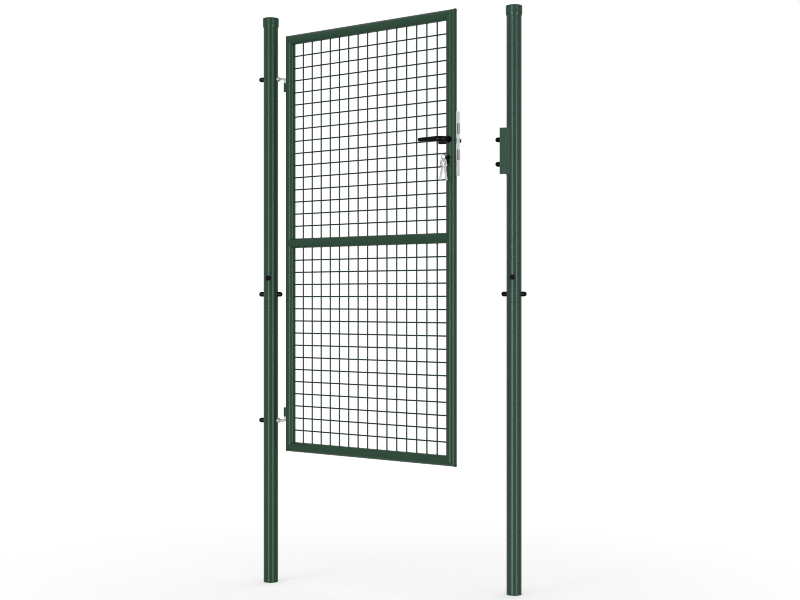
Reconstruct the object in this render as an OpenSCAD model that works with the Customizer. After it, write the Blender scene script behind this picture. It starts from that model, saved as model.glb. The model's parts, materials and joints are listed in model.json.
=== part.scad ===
// Steel garden gate: a tube leaf filled with welded mesh, hung between two round posts

/* [Posts] */
// Height of a post's top above the top rail's axis
post_over = 97.5; // [90:0.5:150]
// Outer diameter of a post tube
post_d = 60; // [58:1:62]
// Wall of every post and frame tube
tube_wall = 2; // [1.5:0.5:2.5]
// Distance between the two post axes
post_spacing = 1025; // [1023:1:1040]
// Height of the seam between a post's lower and upper tube
seam_z = 1163; // [1100:1:1180]
// Length of the lower tube's neck inside the upper tube
neck_len = 140; // [130:1:200]
// Outer diameter of a post cap
cap_d = 66.5; // [65:0.5:70]
// Height of a post cap's straight side
cap_side_h = 31; // [25:1:50]
// Height of the cone that leads a post cap's side in to the tube
cap_cone_h = 9; // [6:1:14]
// Thickness of a post cap's top
cap_top_t = 3; // [2:0.5:5]
// Thickness of the disc that closes a post's foot
foot_t = 3; // [2:0.5:6]

/* [Leaf] */
// How far the leaf stands open, in degrees
leaf_open = 25; // [0:1:90]
// Distance from the hinge post's axis to the hinge axis
hinge_x = 66; // [64:1:70]
// Distance from the hinge axis to the hinge stile's axis
stile_gap = 28; // [27:0.5:28.5]
// Outer diameter of the frame tubes
frame_d = 40; // [38:1:42]
// Distance between the frame tubes' axes, across the leaf and up each panel
panel = 840; // [840:50:840]
// Height of the bottom rail's axis
leaf_z = 565.5; // [540:0.5:580]

/* [Mesh] */
// Distance between wires
mesh_pitch = 50; // [50:5:60]
// Number of wires each way in a panel
mesh_count = 15; // [9:2:15]
// Diameter of a wire
wire_d = 5; // [4.5:0.5:6]
// Distance between the two layers of wires
wire_layer = 4; // [3:0.5:4]

/* [Hinges] */
// Height of the lower gudgeon's shank above the bottom rail's axis
low_shank_up = 106; // [90:0.5:120]
// Distance of the upper gudgeon's shank below the top rail's axis
high_shank_down = 156.5; // [140:0.5:175]
// Diameter of a gudgeon's shank and pin
pin_d = 10; // [8:1:10]
// Radial clearance between a pin and its sleeve
pin_clear = 0.05; // [0.02:0.01:0.1]
// Outer diameter of a hinge sleeve
sleeve_d = 18; // [17:1:20]
// Height of a hinge sleeve
sleeve_h = 36.5; // [25:0.5:45]
// Distance from a shank's axis to its sleeve
sleeve_off = 18; // [16:0.5:22]
// Radius of a gudgeon's bend, to the middle of its bar
bend_r = 10; // [8:0.5:11]
// Gap between a gudgeon's collar and the hinge stile
collar_clear = 1; // [0.8:0.1:1.5]
// Width across the flats of a gudgeon nut
nut_af = 17; // [16:1:19]
// Thickness of a gudgeon nut
nut_t = 8; // [6:0.5:10]

/* [Bolts] */
// Diameter of the bolts through the posts
bolt_d = 8; // [6:1:10]
// Diameter of a domed bolt cap
dome_d = 20; // [18:1:22]
// Length of a domed bolt cap, from the tube to its tip
dome_len = 21; // [18:1:24]
// Height above the seam of the bolt that runs across the gateway
side_bolt_up = 32.5; // [20:0.5:50]
// Height above the seam of the bolt that runs from front to back
front_bolt_up = 99.5; // [80:0.5:115]

/* [Lock] */
// Height of the lock plate's middle above the middle rail's axis
plate_up = 352.5; // [345:0.5:360]
// Height of the lever's axis above the lock plate's middle
lever_up = 17; // [10:0.5:22]
// Distance of the key's axis below the lock plate's middle
key_down = 51; // [46:1:58]
// Height of the latch's middle above the lock plate's
latch_up = 56; // [50:1:62]
// Distance of the deadbolt's middle below the lock plate's
deadbolt_down = 42; // [36:1:46]
// Height of the lock plate
plate_h = 241; // [235:1:250]
// Width of the lock plate
plate_w = 18; // [16:1:20]
// Thickness of the lock plate
plate_t = 3; // [2:0.5:4]
// Distance from the lock stile's axis to the lock plate's outer face
plate_out = 32; // [30:0.5:34]
// Height of the latch and of the deadbolt
bolt_h = 38; // [30:1:40]
// Thickness of the latch and of the deadbolt
bolt_t = 10; // [8:0.5:11]
// How far the latch stands out of the lock plate
latch_out = 12; // [10:0.5:13]
// How far the deadbolt stands out of the lock plate when it is drawn back
deadbolt_out = 6; // [3:0.5:8]
// Gap around the latch and the deadbolt
slide_clear = 0.3; // [0.2:0.05:0.5]

/* [Lever and keys] */
// Distance from the leaf's plane to a lever's middle
lever_off = 62; // [58:1:66]
// Length of a lever from its axis to its tip
lever_len = 109; // [95:1:125]
// Diameter of a lever's neck and bend
neck_d = 20; // [18:0.5:21]
// Radius of a lever's bend, to the middle of its bar
lever_bend = 25; // [22:1:28]
// Diameter of a lever at its tip
lever_tip_d = 14.5; // [12:0.5:16]
// Angle by which a lever's arm rises towards its tip, in degrees
lever_tilt = 1.2; // [0:0.1:3]
// Diameter of a lever's rose
rose_d = 26; // [25:1:30]
// Length of a key's bow along its axis
bow_len = 26; // [24:1:28]
// Height of a key's bow
bow_h = 21; // [18:1:24]
// Thickness of a key
key_t = 2.5; // [2:0.5:3]
// Length of a key's blade
blade_len = 53; // [48:1:54]
// Width of a key's blade
blade_w = 7.5; // [7:0.5:8]
// Diameter of the key ring, to the middle of its wire
ring_d = 14; // [14:1:18]
// Angle by which the key ring is turned from the leaf's plane, in degrees
ring_turn = 30; // [10:1:35]
// Angle between each hanging key and the vertical, in degrees
key_splay = 10; // [6:1:12]

/* [Strike] */
// Height of the strike bracket
strike_h = 184; // [170:1:200]
// Height of the strike bracket's middle above the lock plate's
strike_up = 6; // [0:1:10]
// Distance from the lock post's axis to the edge of the strike's lip
strike_reach = 53; // [49:0.5:53]
// Distance from the posts' plane to the front of the strike's lip
strike_front = 28; // [26:0.5:29]
// Thickness of the strike's plate
strike_t = 3; // [2.5:0.5:4]
// Distance behind the posts' plane of the stop buffers
buffer_y = 29; // [28.5:0.5:31]
// Distance from the lock post's axis to the tip of a stop buffer
buffer_reach = 81; // [70:1:81]

/* [Hidden] */
$fn = 64;
post_r = post_d / 2;
frame_r = frame_d / 2;
pin_r = pin_d / 2;
bolt_r = bolt_d / 2;
dome_r = dome_d / 2;
over = 1;
rail_mid_z = leaf_z + panel;
rail_top_z = leaf_z + 2 * panel;
post_h = rail_top_z + post_over;
tube_top = post_h - cap_top_t;
seam_v = 0.8;
neck_root = 20;
dome_root = 4;
side_bolt_z = seam_z + side_bolt_up;
front_bolt_z = seam_z + front_bolt_up;
low_shank_z = leaf_z + low_shank_up;
high_shank_z = rail_top_z - high_shank_down;
low_sleeve_z = low_shank_z + sleeve_off;
high_sleeve_z = high_shank_z - sleeve_off - sleeve_h;
lock_u = stile_gap + panel;
plate_z = rail_mid_z + plate_up;
lever_z = plate_z + lever_up;
key_z = plate_z - key_down;
latch_z = plate_z + latch_up;
deadbolt_z = plate_z - deadbolt_down;
wire_margin = (panel - (mesh_count - 1) * mesh_pitch) / 2;
wire_n = wire_layer / 2;
mesh_tuck = 4;
mitre_size = 4 * frame_d;
bolt_tuck = 8;
cap_lip = 0.8;
cap_edge = 3;
bolt_reach = post_r + bolt_tuck;
washer_t = 1.5;
washer_root = 3;
washer_r = 10;
collar_h = 6;
collar_gap = 0.3;
collar_r = stile_gap - frame_r - collar_clear;
pin_short = 4;
pin_end = sleeve_off + sleeve_h - pin_short;
case_n = 7;
case_wall = 1.5;
case_back = 15;
case_end = 10;
case_h = plate_h - 2 * case_end;
case_front = plate_out - plate_t;
bolt_slot = bolt_t / 2 + slide_clear;
latch_len = 34;
latch_nose = 2;
latch_root = 3;
deadbolt_len = 26;
spindle = 8;
spindle_hole_r = 6.5;
neck_end = lever_off - lever_bend;
spindle_short = 4;
spindle_reach = neck_end - spindle_short;
lever_arm = lever_len - lever_bend;
lever_edge = 3;
lever_lap = 1;
lever_step = 0.1;
rose_t = 5;
neck_clear = 0.05;
neck_gap = 0.5;
cylinder_r = 8.5;
cylinder_fin_w = 10;
cylinder_drop = 24.5;
cylinder_out = 26;
cylinder_back = 21.5;
plug_r = 6;
plug_proud = 1;
plug_out = cylinder_out + plug_proud;
bow_neck = 9;
bow_start = plug_out + bow_neck;
bow_frame = 4.2;
bow_overlap = 1;
bow_round = 4;
key_in = blade_len - bow_start;
plug_wall = 1;
plug_in = key_in + plug_wall;
ring_wire = 2;
ring_rest = 0.6;
ring_n = bow_start + bow_len / 2;
ring_top_z = key_z - bow_h / 2 + bow_frame + ring_wire / 2 + ring_rest;
ring_z = ring_top_z - ring_d / 2;
hang_side = 3;
hang_rest = 0.5;
hang_drop = sqrt(pow(ring_d / 2, 2) - pow(hang_side, 2));
hang_rise = hang_drop - sqrt(pow(ring_d / 2, 2) - pow(hang_side + key_t / 2, 2));
hang_lift = hang_rise + ring_wire / 2 + hang_rest;
blade_cut = 1.6;
blade_cut_pitch = 3.6;
blade_cut_count = 6;
strike_low = plate_z + strike_up - strike_h / 2;
strike_side = post_r + strike_t;
strike_root = 1;
strike_margin = 11;
strike_back = buffer_y + strike_margin;
buffer_nut_t = 6;
buffer_nut_af = 13;
post_colour = "#2f4f3f";
black = "#151515";
zinc = "#c9c9c9";

// Places children in the leaf's own frame: x from the hinge axis along the leaf, y to its back
module on_leaf() {
    translate([hinge_x, 0, 0]) rotate([0, 0, -leaf_open]) children();
}

// Places children on the lock stile's axis at a height
module on_lock(z) {
    on_leaf() translate([lock_u, 0, z]) children();
}

// Round bar along x
module bar_x(r, from, to) {
    translate([from, 0, 0]) rotate([0, 90, 0]) cylinder(r = r, h = to - from);
}

// Round bar along y
module bar_y(r, from, to) {
    translate([0, from, 0]) rotate([-90, 0, 0]) cylinder(r = r, h = to - from);
}

// Upright tube
module tube(r, from, to) {
    translate([0, 0, from]) difference() {
        cylinder(r = r, h = to - from);
        translate([0, 0, -over]) cylinder(r = r - tube_wall, h = to - from + 2 * over);
    }
}

// Domed cap along x, from its base plane to its tip
module dome(base, len) {
    translate([base, 0, 0]) rotate([0, 90, 0]) rotate_extrude() intersection() {
        union() {
            square([dome_r, len - dome_r]);
            translate([0, len - dome_r]) circle(r = dome_r);
        }
        square([dome_r, len]);
    }
}

// The two bolt holes where a post's tubes join
module splice_bores() {
    translate([0, 0, side_bolt_z]) bar_x(bolt_r, -post_d, post_d);
    translate([0, 0, front_bolt_z]) bar_y(bolt_r, -post_d, post_d);
}

// Fine groove where a post's two tubes meet
module seam_groove() {
    wide = seam_v + over;
    rotate_extrude()
        polygon([[post_r - seam_v, seam_z], [post_r + over, seam_z - wide], [post_r + over, seam_z + wide]]);
}

module post_lower() {
    difference() {
        union() {
            tube(post_r, 0, seam_z);
            tube(post_r - tube_wall, seam_z - neck_root, seam_z + neck_len);
        }
        seam_groove();
        splice_bores();
    }
}

module post_upper() {
    difference() {
        tube(post_r, seam_z, tube_top);
        seam_groove();
        splice_bores();
    }
}

module post_cap() {
    cap_r = cap_d / 2;
    side_low = post_h - cap_side_h;
    rotate_extrude() {
        polygon([
            [0, tube_top], [post_r, tube_top], [post_r, side_low - cap_cone_h],
            [post_r + cap_lip, side_low - cap_cone_h], [cap_r, side_low], [cap_r, post_h - cap_edge],
            [cap_r - cap_edge, post_h - cap_edge], [cap_r - cap_edge, post_h], [0, post_h]
        ]);
        intersection() {
            translate([cap_r - cap_edge, post_h - cap_edge]) circle(r = cap_edge);
            translate([cap_r - cap_edge, post_h - cap_edge]) square(cap_edge);
        }
    }
}

module post_foot() {
    cylinder(r = post_r - tube_wall, h = foot_t);
}

module post_bolts() {
    translate([0, 0, side_bolt_z]) bar_x(bolt_r, -bolt_reach, bolt_reach);
    translate([0, 0, front_bolt_z]) bar_y(bolt_r, -bolt_reach, bolt_reach);
}

// Domed cap on a post's side, coped to the tube and hollow for the bolt's end
module post_dome(z, turn, r) {
    translate([0, 0, z]) rotate([0, 0, turn]) difference() {
        dome(post_r - dome_root, dome_len + dome_root);
        translate([0, 0, -dome_d]) cylinder(r = post_r, h = 2 * dome_d);
        bar_x(r, 0, bolt_reach);
    }
}

module post_bolt_caps() {
    for (turn = [0, 180]) post_dome(side_bolt_z, turn, bolt_r);
    for (turn = [90, 270]) post_dome(front_bolt_z, turn, bolt_r);
}

// Gudgeon whose pin points up (way = 1) or down (way = -1)
module gudgeon(z, way) {
    sleeve_near = way * sleeve_off;
    translate([0, 0, z]) {
        bar_x(pin_r, -bolt_reach, hinge_x - bend_r);
        translate([hinge_x - bend_r, 0, way * bend_r]) rotate([90, 0, 0])
            rotate([0, 0, way > 0 ? -90 : 0]) rotate_extrude(angle = 90)
                translate([bend_r, 0]) circle(r = pin_r);
        translate([hinge_x, 0, way > 0 ? bend_r : -pin_end]) cylinder(r = pin_r, h = pin_end - bend_r);
        translate([hinge_x, 0, way > 0 ? sleeve_near - collar_h - collar_gap : sleeve_near + collar_gap])
            cylinder(r = collar_r, h = collar_h);
    }
}

// Bore for a gudgeon's shank through the hinge post
module shank_bores() {
    for (z = [low_shank_z, high_shank_z]) translate([0, 0, z]) bar_x(pin_r, -post_d, post_d);
}

module gudgeon_nuts() {
    color(zinc) for (z = [low_shank_z, high_shank_z]) translate([0, 0, z]) difference() {
        union() {
            bar_x(washer_r, post_r - washer_root, post_r + washer_t);
            translate([post_r + washer_t, 0, 0]) rotate([0, 90, 0])
                cylinder(d = nut_af / cos(30), h = nut_t, $fn = 6);
        }
        translate([0, 0, -dome_d]) cylinder(r = post_r, h = 2 * dome_d);
        bar_x(pin_r, 0, post_d);
    }
}

module gudgeon_caps() {
    color(black) for (z = [low_shank_z, high_shank_z]) post_dome(z, 180, pin_r);
}

module strike_bracket() {
    color(post_colour) translate([post_spacing, 0, strike_low]) difference() {
        union() {
            translate([-strike_reach, -strike_front, 0]) cube([strike_reach, strike_t, strike_h]);
            translate([-strike_side, -strike_front, 0])
                cube([strike_side - post_r + strike_root, strike_front + strike_back, strike_h]);
        }
        translate([0, 0, -over]) cylinder(r = post_r, h = strike_h + 2 * over);
        for (z = [latch_z, deadbolt_z]) translate([0, buffer_y, z - strike_low])
            bar_x(bolt_r, -strike_reach, 0);
    }
}

module strike_bolts() {
    nut_from = strike_root - post_r;
    color(zinc) for (z = [latch_z, deadbolt_z]) translate([post_spacing, buffer_y, z]) {
        bar_x(bolt_r, -strike_side - bolt_tuck, nut_from + buffer_nut_t);
        translate([nut_from, 0, 0]) rotate([0, 90, 0])
            cylinder(d = buffer_nut_af / cos(30), h = buffer_nut_t, $fn = 6);
    }
}

module strike_buffers() {
    color(black) for (z = [latch_z, deadbolt_z]) translate([post_spacing, buffer_y, z]) difference() {
        mirror([1, 0, 0]) dome(strike_side, buffer_reach - strike_side);
        bar_x(bolt_r, -strike_side - bolt_tuck, 0);
    }
}

// Block on the outer side of a mitre plane, from the plane up (side = 0) or down (side = -1)
module mitre_block(turn, side) {
    rotate([0, turn, 0]) translate([-mitre_size, -frame_d, side * mitre_size])
        cube([2 * mitre_size, 2 * frame_d, mitre_size]);
}

// A stile with both ends mitred; side is 1 for the hinge stile and -1 for the lock stile
module stile(u, side) {
    difference() {
        translate([u, 0, 0]) tube(frame_r, leaf_z - frame_d, rail_top_z + frame_d);
        translate([u, 0, rail_top_z]) mitre_block(side * 45, 0);
        translate([u, 0, leaf_z]) mirror([0, 0, 1]) mitre_block(side * 45, 0);
    }
}

// A rail's outer round or its bore
module rail_bar(z, r, from, to) {
    translate([0, 0, z]) bar_x(r, from, to);
}

// The top or bottom rail, mitred at both ends; way is 1 for the top one and -1 for the bottom one
module end_rail(z, way) {
    difference() {
        rail_bar(z, frame_r, stile_gap - frame_d, lock_u + frame_d);
        rail_bar(z, frame_r - tube_wall, stile_gap - frame_d - over, lock_u + frame_d + over);
        for (end = [0, 1]) translate([stile_gap + end * panel, 0, z]) mirror([end, 0, 0])
            mirror([0, 0, way > 0 ? 0 : 1]) mitre_block(45, -1);
    }
}

module hinge_stile() {
    color(post_colour) on_leaf() stile(stile_gap, 1);
}

module lock_stile() {
    color(post_colour) difference() {
        on_leaf() stile(lock_u, -1);
        on_lock(plate_z) translate([0, -case_n, -case_h / 2]) cube([frame_d, 2 * case_n, case_h]);
        on_lock(lever_z) bar_y(spindle_hole_r, -frame_d, frame_d);
        on_lock(key_z) cylinder_profile(frame_d, frame_d);
    }
}

module top_rail() {
    color(post_colour) on_leaf() end_rail(rail_top_z, 1);
}

module bottom_rail() {
    color(post_colour) on_leaf() end_rail(leaf_z, -1);
}

module middle_rail() {
    color(post_colour) on_leaf() difference() {
        rail_bar(rail_mid_z, frame_r, stile_gap, lock_u);
        rail_bar(rail_mid_z, frame_r - tube_wall, stile_gap, lock_u);
        for (u = [stile_gap, lock_u]) translate([u, 0, rail_mid_z - frame_d])
            cylinder(r = frame_r, h = 2 * frame_d);
    }
}

// A square of welded wires between two rails, coped to the tubes around it
module mesh(z) {
    low = frame_r - mesh_tuck;
    high = panel - frame_r + mesh_tuck;
    color(post_colour) on_leaf() translate([stile_gap, 0, z]) difference() {
        for (i = [0 : mesh_count - 1]) {
            translate([0, -wire_n, wire_margin + i * mesh_pitch]) rotate([0, 90, 0])
                translate([0, 0, low]) cylinder(d = wire_d, h = high - low, $fn = 8);
            translate([wire_margin + i * mesh_pitch, wire_n, low])
                cylinder(d = wire_d, h = high - low, $fn = 8);
        }
        for (u = [0, panel]) translate([u, 0, 0]) cylinder(r = frame_r, h = panel);
        for (w = [0, panel]) translate([0, 0, w]) bar_x(frame_r, 0, panel);
    }
}

module upper_mesh() {
    mesh(rail_mid_z);
}

module lower_mesh() {
    mesh(leaf_z);
}

// Sleeve on the hinge axis, coped to the hinge stile
module hinge_sleeve(z) {
    color(post_colour) on_leaf() translate([0, 0, z]) difference() {
        cylinder(d = sleeve_d, h = sleeve_h);
        translate([0, 0, -over]) cylinder(r = pin_r + pin_clear, h = sleeve_h + 2 * over);
        translate([stile_gap, 0, -over]) cylinder(r = frame_r, h = sleeve_h + 2 * over);
    }
}

// Frame of plate between the lock stile and the lock plate
module lock_pocket() {
    color(post_colour) on_lock(plate_z) difference() {
        translate([0, -plate_w / 2, -plate_h / 2]) cube([case_front, plate_w, plate_h]);
        translate([0, -case_n, -case_h / 2]) cube([case_front + over, 2 * case_n, case_h]);
        translate([0, 0, -plate_h]) cylinder(r = frame_r, h = 2 * plate_h);
    }
}

// Steel box inside the lock stile, open towards the lock plate
module lock_case() {
    inner_n = case_n - case_wall;
    color(zinc) difference() {
        on_lock(plate_z) difference() {
            translate([-case_back, -case_n, -case_h / 2]) cube([case_back + case_front, 2 * case_n, case_h]);
            translate([-case_back + case_wall, -inner_n, -case_h / 2 + case_wall])
                cube([case_back + case_front, 2 * inner_n, case_h - 2 * case_wall]);
        }
        on_lock(lever_z) bar_y(spindle_hole_r, -frame_d, frame_d);
        on_lock(key_z) cylinder_profile(frame_d, frame_d);
    }
}

module lock_plate() {
    color(zinc) difference() {
        on_lock(plate_z) translate([case_front, -plate_w / 2, -plate_h / 2])
            cube([plate_t, plate_w, plate_h]);
        for (z = [latch_z, deadbolt_z]) on_lock(z)
            translate([0, -bolt_slot, -bolt_h / 2 - slide_clear])
                cube([plate_out + over, 2 * bolt_slot, bolt_h + 2 * slide_clear]);
    }
}

// Keyhole outline of the lock cylinder, as a bar that reaches out of the leaf's front and its back
module cylinder_profile(front, back) {
    bar_y(cylinder_r, -front, back);
    translate([-cylinder_fin_w / 2, -front, -cylinder_drop])
        cube([cylinder_fin_w, front + back, cylinder_drop]);
}

module lock_cylinder() {
    color(black) on_lock(key_z) difference() {
        cylinder_profile(cylinder_out, cylinder_back);
        bar_y(plug_r, -cylinder_out - over, plug_in);
    }
}

// Flat-bottomed rose on each face of the lock stile, coped to the tube
module lever_roses() {
    color(black) on_lock(lever_z) for (turn = [0, 180]) rotate([0, 0, turn]) difference() {
        bar_y(rose_d / 2, -frame_r - rose_t, 0);
        translate([0, 0, -frame_d]) cylinder(r = frame_r, h = 2 * frame_d);
        bar_y(neck_d / 2 + neck_clear, -frame_r - rose_t - over, 0);
    }
}

module latch() {
    tip = plate_out + latch_out;
    color(zinc) on_lock(latch_z) translate([0, 0, -bolt_h / 2]) linear_extrude(bolt_h) polygon([
        [tip - latch_len, -bolt_t / 2], [tip, -bolt_t / 2], [tip, latch_nose - bolt_t / 2],
        [plate_out + latch_root, bolt_t / 2], [tip - latch_len, bolt_t / 2]
    ]);
}

module deadbolt() {
    tip = plate_out + deadbolt_out;
    color(zinc) on_lock(deadbolt_z) translate([tip - deadbolt_len, -bolt_t / 2, -bolt_h / 2])
        cube([deadbolt_len, bolt_t, bolt_h]);
}

module lever_spindle() {
    color(zinc) on_lock(lever_z) translate([-spindle / 2, -spindle_reach, -spindle / 2])
        cube([spindle, 2 * spindle_reach, spindle]);
}

// Arm of a lever along z: a cone that starts inside the bend and ends in a flat tip with a rounded edge
module lever_arm() {
    tip_r = lever_tip_d / 2;
    flat_r = tip_r - lever_edge;
    side = lever_arm - lever_edge;
    rotate_extrude() {
        polygon([[0, -lever_lap], [neck_d / 2 - lever_step, -lever_lap], [tip_r, side], [0, side]]);
        square([flat_r, lever_arm]);
        translate([flat_r, side]) intersection() {
            circle(r = lever_edge);
            square(lever_edge);
        }
    }
}

// Lever on the leaf's front: neck along the axis, then a bend and an arm towards the hinges
module lever() {
    color(black) difference() {
        rotate([0, lever_tilt, 0]) union() {
            bar_y(neck_d / 2, -neck_end, -frame_r - neck_gap);
            translate([-lever_bend, -neck_end, 0]) rotate([0, 0, -90]) rotate_extrude(angle = 90)
                translate([lever_bend, 0]) circle(d = neck_d);
            translate([-lever_bend, -lever_off, 0]) rotate([0, -90, 0]) lever_arm();
        }
        translate([-spindle / 2, -spindle_reach, -spindle / 2]) cube([spindle, spindle_reach, spindle]);
    }
}

module front_lever() {
    on_lock(lever_z) lever();
}

module rear_lever() {
    on_lock(lever_z) mirror([0, 1, 0]) lever();
}

module key_plug() {
    color(black) on_lock(key_z) difference() {
        bar_y(plug_r, -plug_out, plug_in);
        translate([-key_t / 2, -plug_out - over, -blade_w / 2])
            cube([key_t, plug_out + over + key_in, blade_w]);
    }
}

// Rectangle with round corners, centred on the origin
module rounded(w, h, r) {
    square([w - 2 * r, h], center = true);
    square([w, h - 2 * r], center = true);
    for (x = [-1, 1], y = [-1, 1]) translate([x * (w / 2 - r), y * (h / 2 - r)]) circle(r = r);
}

// Key blade towards +x, with notches along one edge and a pointed tip
module blade() {
    tip = blade_w / 2;
    straight = blade_len - tip;
    difference() {
        union() {
            translate([-bow_overlap, -tip]) square([straight + bow_overlap, blade_w]);
            polygon([[straight, -tip], [blade_len, 0], [straight, tip]]);
        }
        for (i = [1 : blade_cut_count]) translate([straight - i * blade_cut_pitch, tip])
            circle(r = blade_cut, $fn = 4);
    }
}

// Flat key: a bow that is an open frame, up to the origin, then the blade
module key_plate() {
    linear_extrude(key_t) {
        translate([-bow_len / 2, 0]) difference() {
            rounded(bow_len, bow_h, bow_round);
            rounded(bow_len - 2 * bow_frame, bow_h - 2 * bow_frame, bow_round / 2);
        }
        blade();
    }
}

// Key in the lock: its blade in the plug, its bow upright in front of it
module key() {
    color(zinc) on_lock(key_z) translate([-key_t / 2, -bow_start, 0]) rotate([90, 0, 90]) key_plate();
}

// Places children at the middle of the key ring, with x across the hanging keys
module on_ring() {
    on_lock(ring_z) translate([0, -ring_n, 0]) rotate([0, 0, -ring_turn]) children();
}

module key_ring() {
    color(zinc) on_ring() rotate([90, 0, 0]) rotate_extrude()
        translate([ring_d / 2, 0]) circle(d = ring_wire);
}

// Key that hangs with the top of its bow's opening just above the ring's wire, at the origin
module hanging_key() {
    translate([-key_t / 2, 0, hang_lift + bow_frame - bow_len]) rotate([90, 0, 90])
        rotate([0, 0, -90]) key_plate();
}

module hanging_keys() {
    color(zinc) on_ring() for (side = [-1, 1])
        translate([side * hang_side, 0, -hang_drop]) rotate([side * key_splay, 0, 0]) hanging_key();
}

module hinge_post_lower() {
    color(post_colour) difference() {
        post_lower();
        shank_bores();
    }
}

module hinge_post_upper() {
    color(post_colour) difference() {
        post_upper();
        shank_bores();
    }
}

module at_lock_post() {
    translate([post_spacing, 0, 0]) children();
}

hinge_post_lower();
hinge_post_upper();
color(post_colour) post_cap();  // hinge_post_cap
color(post_colour) post_foot();  // hinge_post_foot
color(post_colour) at_lock_post() post_lower();  // lock_post_lower
color(post_colour) at_lock_post() post_upper();  // lock_post_upper
color(post_colour) at_lock_post() post_cap();  // lock_post_cap
color(post_colour) at_lock_post() post_foot();  // lock_post_foot
color(zinc) post_bolts();  // hinge_post_bolts
color(black) post_bolt_caps();  // hinge_post_bolt_caps
color(zinc) at_lock_post() post_bolts();  // lock_post_bolts
color(black) at_lock_post() post_bolt_caps();  // lock_post_bolt_caps
color(zinc) gudgeon(low_shank_z, 1);  // lower_gudgeon
color(zinc) gudgeon(high_shank_z, -1);  // upper_gudgeon
gudgeon_nuts();
gudgeon_caps();
strike_bracket();
strike_bolts();
strike_buffers();
hinge_stile();
lock_stile();
top_rail();
middle_rail();
bottom_rail();
upper_mesh();
lower_mesh();
hinge_sleeve(low_sleeve_z);  // lower_hinge_sleeve
hinge_sleeve(high_sleeve_z);  // upper_hinge_sleeve
lock_pocket();
lock_case();
lock_plate();
lock_cylinder();
lever_roses();
latch();
deadbolt();
lever_spindle();
front_lever();
rear_lever();
key_plug();
key();
key_ring();
hanging_keys();
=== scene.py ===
"""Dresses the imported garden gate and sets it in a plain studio."""

import json
import logging
import math
from dataclasses import dataclass
from enum import Enum
from typing import Callable, Iterable

import bmesh
import bpy
from mathutils import Matrix, Vector

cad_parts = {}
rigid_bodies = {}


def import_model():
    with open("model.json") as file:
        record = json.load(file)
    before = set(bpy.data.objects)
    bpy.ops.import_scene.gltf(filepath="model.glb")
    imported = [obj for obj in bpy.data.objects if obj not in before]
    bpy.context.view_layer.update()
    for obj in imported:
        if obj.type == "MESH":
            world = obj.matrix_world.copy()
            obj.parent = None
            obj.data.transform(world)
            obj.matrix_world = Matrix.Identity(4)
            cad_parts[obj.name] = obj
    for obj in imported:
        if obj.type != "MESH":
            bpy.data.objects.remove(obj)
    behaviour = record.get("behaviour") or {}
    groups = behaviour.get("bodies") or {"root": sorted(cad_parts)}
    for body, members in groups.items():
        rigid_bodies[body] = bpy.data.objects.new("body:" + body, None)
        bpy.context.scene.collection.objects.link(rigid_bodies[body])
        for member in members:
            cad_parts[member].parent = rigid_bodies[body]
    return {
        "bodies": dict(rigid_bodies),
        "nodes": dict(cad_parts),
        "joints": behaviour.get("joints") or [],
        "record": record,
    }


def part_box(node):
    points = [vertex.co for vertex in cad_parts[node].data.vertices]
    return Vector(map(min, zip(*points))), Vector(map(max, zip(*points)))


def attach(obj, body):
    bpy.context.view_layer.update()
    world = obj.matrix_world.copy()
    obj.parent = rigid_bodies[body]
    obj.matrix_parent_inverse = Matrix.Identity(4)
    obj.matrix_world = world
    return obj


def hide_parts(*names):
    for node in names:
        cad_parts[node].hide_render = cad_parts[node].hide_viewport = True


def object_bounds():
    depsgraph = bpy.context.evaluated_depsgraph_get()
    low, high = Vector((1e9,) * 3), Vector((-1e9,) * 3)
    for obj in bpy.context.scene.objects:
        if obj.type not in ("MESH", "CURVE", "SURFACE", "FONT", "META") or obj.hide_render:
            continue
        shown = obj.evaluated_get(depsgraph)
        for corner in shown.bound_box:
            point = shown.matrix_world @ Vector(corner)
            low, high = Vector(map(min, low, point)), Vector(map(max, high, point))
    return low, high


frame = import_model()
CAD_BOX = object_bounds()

LOG = logging.getLogger("gate")
MM = 0.001
UP = Vector((0.0, 0.0, 1.0))
WHITE = (1.0, 1.0, 1.0, 1.0)
WELD_DIST = 0.001 * MM
SMOOTH_DEG = 32.0
DROP_SIDES = 8
DROP_RINGS = 6
Colour = tuple[float, float, float]
Socket = bpy.types.NodeSocket


class Body(Enum):
    """The bodies of the gate that carry the pieces made here."""

    POSTS = "posts"
    LEAF = "leaf"
    LATCH = "latch_bolt"
    DEADBOLT = "dead_bolt"
    SPARE_KEYS = "spare_keys"


class Slot(Enum):
    """The record's finishes."""

    GREEN_PAINT = "green_paint"
    GREEN_PLASTIC = "green_plastic"
    WIRE_PAINT = "wire_paint"
    ZINC = "zinc"
    BOLT_STEEL = "bolt_steel"
    BLACK_PLASTIC = "black_plastic"
    BLACK_RUBBER = "black_rubber"
    BLACK_PAINT = "black_paint"


class Effect(Enum):
    """The kinds of surface that the finishes share."""

    POWDER_COAT = "powder_coat"
    MOULDED = "moulded_skin"
    PLATED = "plated_steel"


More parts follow.
